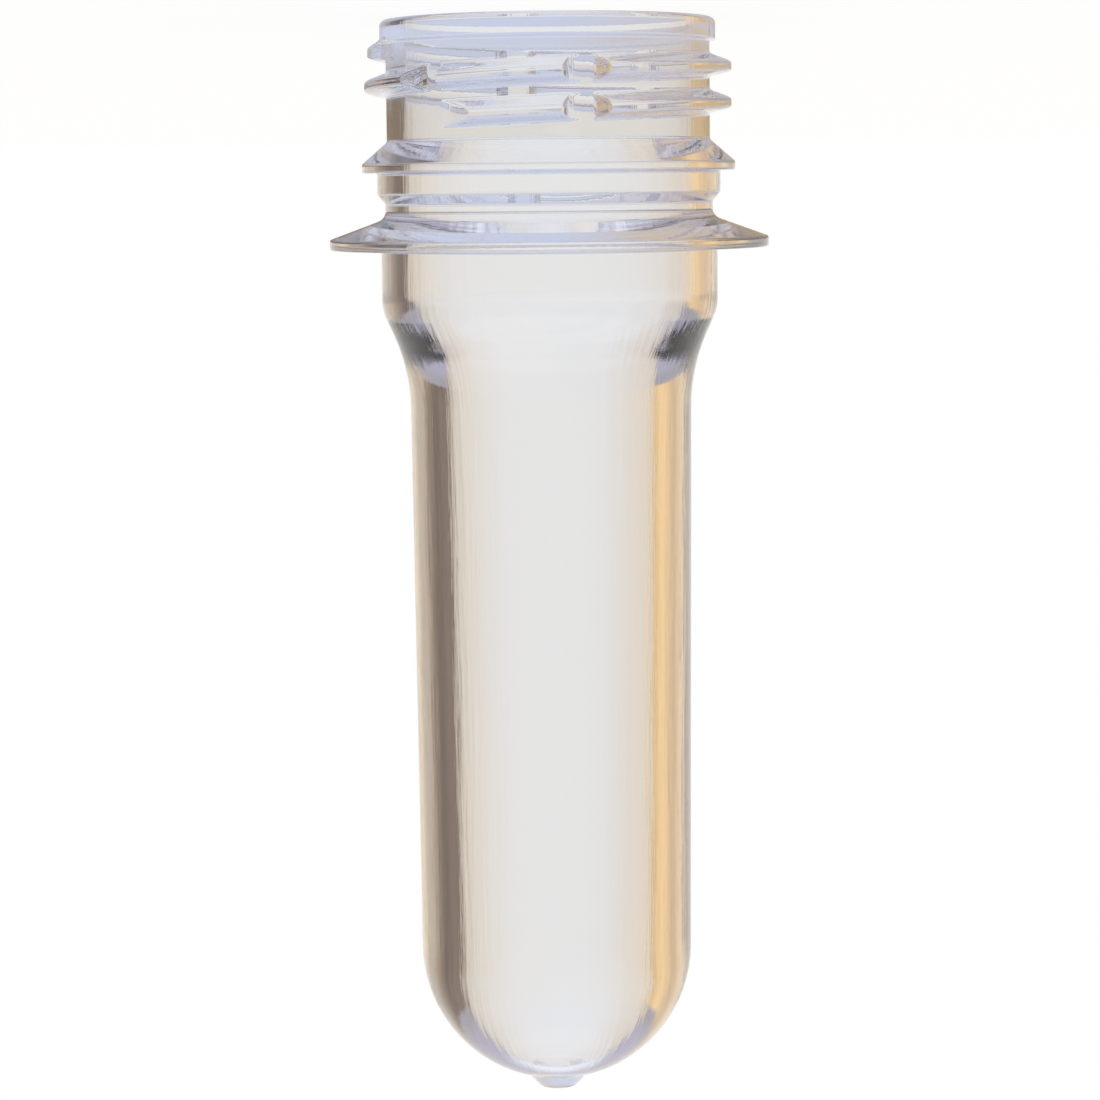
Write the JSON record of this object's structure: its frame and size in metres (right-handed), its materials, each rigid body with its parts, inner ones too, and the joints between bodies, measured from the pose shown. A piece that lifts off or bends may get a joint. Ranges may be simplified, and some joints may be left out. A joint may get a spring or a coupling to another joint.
{
  "type": "pet bottle preform",
  "caption": "Clear bottle preform with a threaded neck, a support ring and a rounded closed end with its gate, stood on its open mouth.",
  "frame": {"origin": "centre of the sealing face of the open mouth, on the preform's axis", "axes": "+Z along the axis, from the mouth towards the closed end; +X through the azimuth where the thread has just left the neck wall at the mouth"},
  "size_m": [0.033, 0.033, 0.0817],
  "materials": {
    "clear_pet": "clear, moulded gloss"
  },
  "bodies": {
    "root": {"preform": "clear_pet"}
  },
  "joints": []
}
